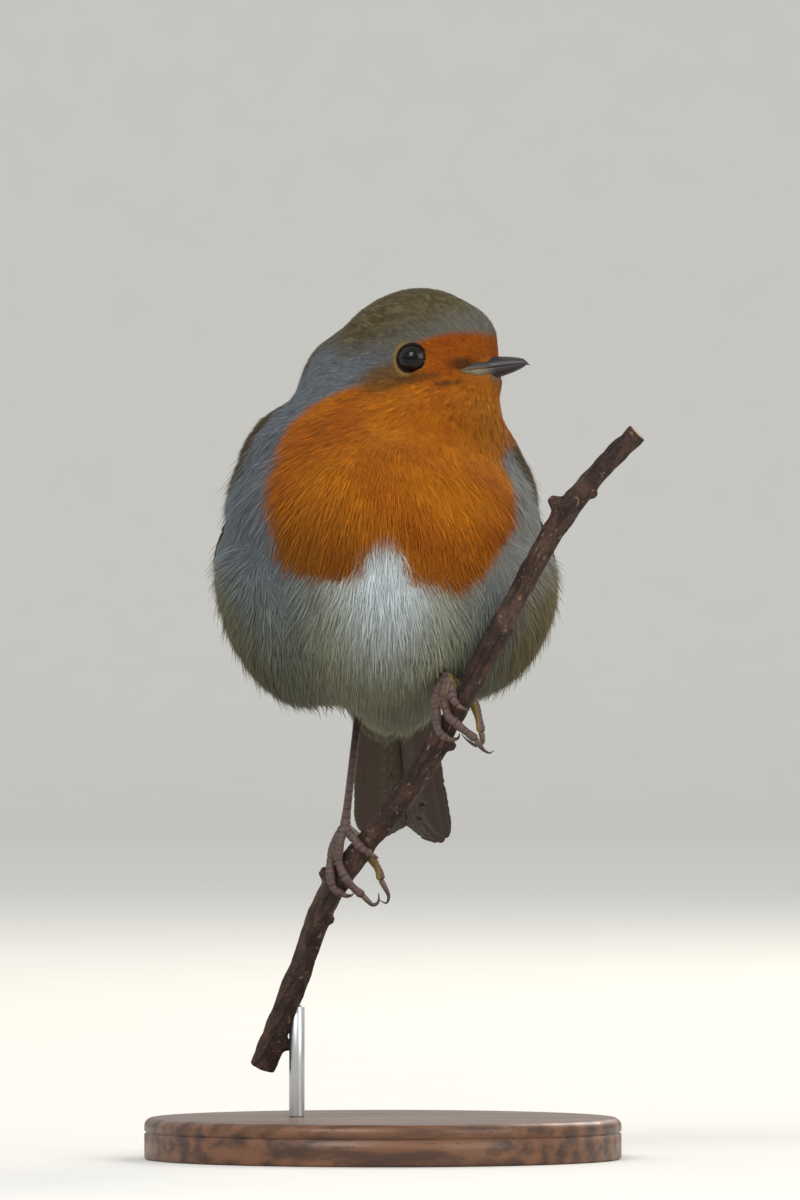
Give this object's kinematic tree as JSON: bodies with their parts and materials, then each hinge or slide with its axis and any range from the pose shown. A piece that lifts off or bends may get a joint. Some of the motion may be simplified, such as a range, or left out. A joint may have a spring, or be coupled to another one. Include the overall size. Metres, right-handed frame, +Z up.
{
  "type": "european robin model",
  "caption": "Life-size still model of a fluffed-up robin gripping a slanting cut twig, on a round display base with one short rod.",
  "frame": {"origin": "middle of the display base's underside, on the surface it stands on", "axes": "+Z up; the bird's breast faces -Y, its tail points to +Y, and its left side is on +X"},
  "size_m": [0.0959, 0.1148, 0.168],
  "materials": {
    "plumage": "soft contour feathers, orange breast, blue-grey border, olive-brown back, off-white belly",
    "flight_feather": "smooth brown vanes with olive fringes",
    "bill": "satin dark horn, paler at the base of the lower half",
    "eye": "wet gloss, black-brown",
    "leg_scale": "satin scutes, olive-yellow soles",
    "claw": "satin dark horn",
    "bark": "rough thin bark, pale cut ends",
    "stand_wood": "satin dark hardwood",
    "stand_steel": "satin round bar"
  },
  "bodies": {
    "root": {"head": "plumage", "left_eye": "eye", "left_foot": "leg_scale", "left_hind_claw": "claw", "left_inner_claw": "claw", "left_leg": "leg_scale", "left_middle_claw": "claw", "left_outer_claw": "claw", "left_wing": "flight_feather", "lower_bill": "bill", "neck": "plumage", "perch": "bark", "right_eye": "eye", "right_foot": "leg_scale", "right_hind_claw": "claw", "right_inner_claw": "claw", "right_leg": "leg_scale", "right_middle_claw": "claw", "right_outer_claw": "claw", "right_wing": "flight_feather", "stand_base": "stand_wood", "stand_rod": "stand_steel", "tail": "flight_feather", "trunk": "plumage", "upper_bill": "bill"}
  },
  "joints": []
}
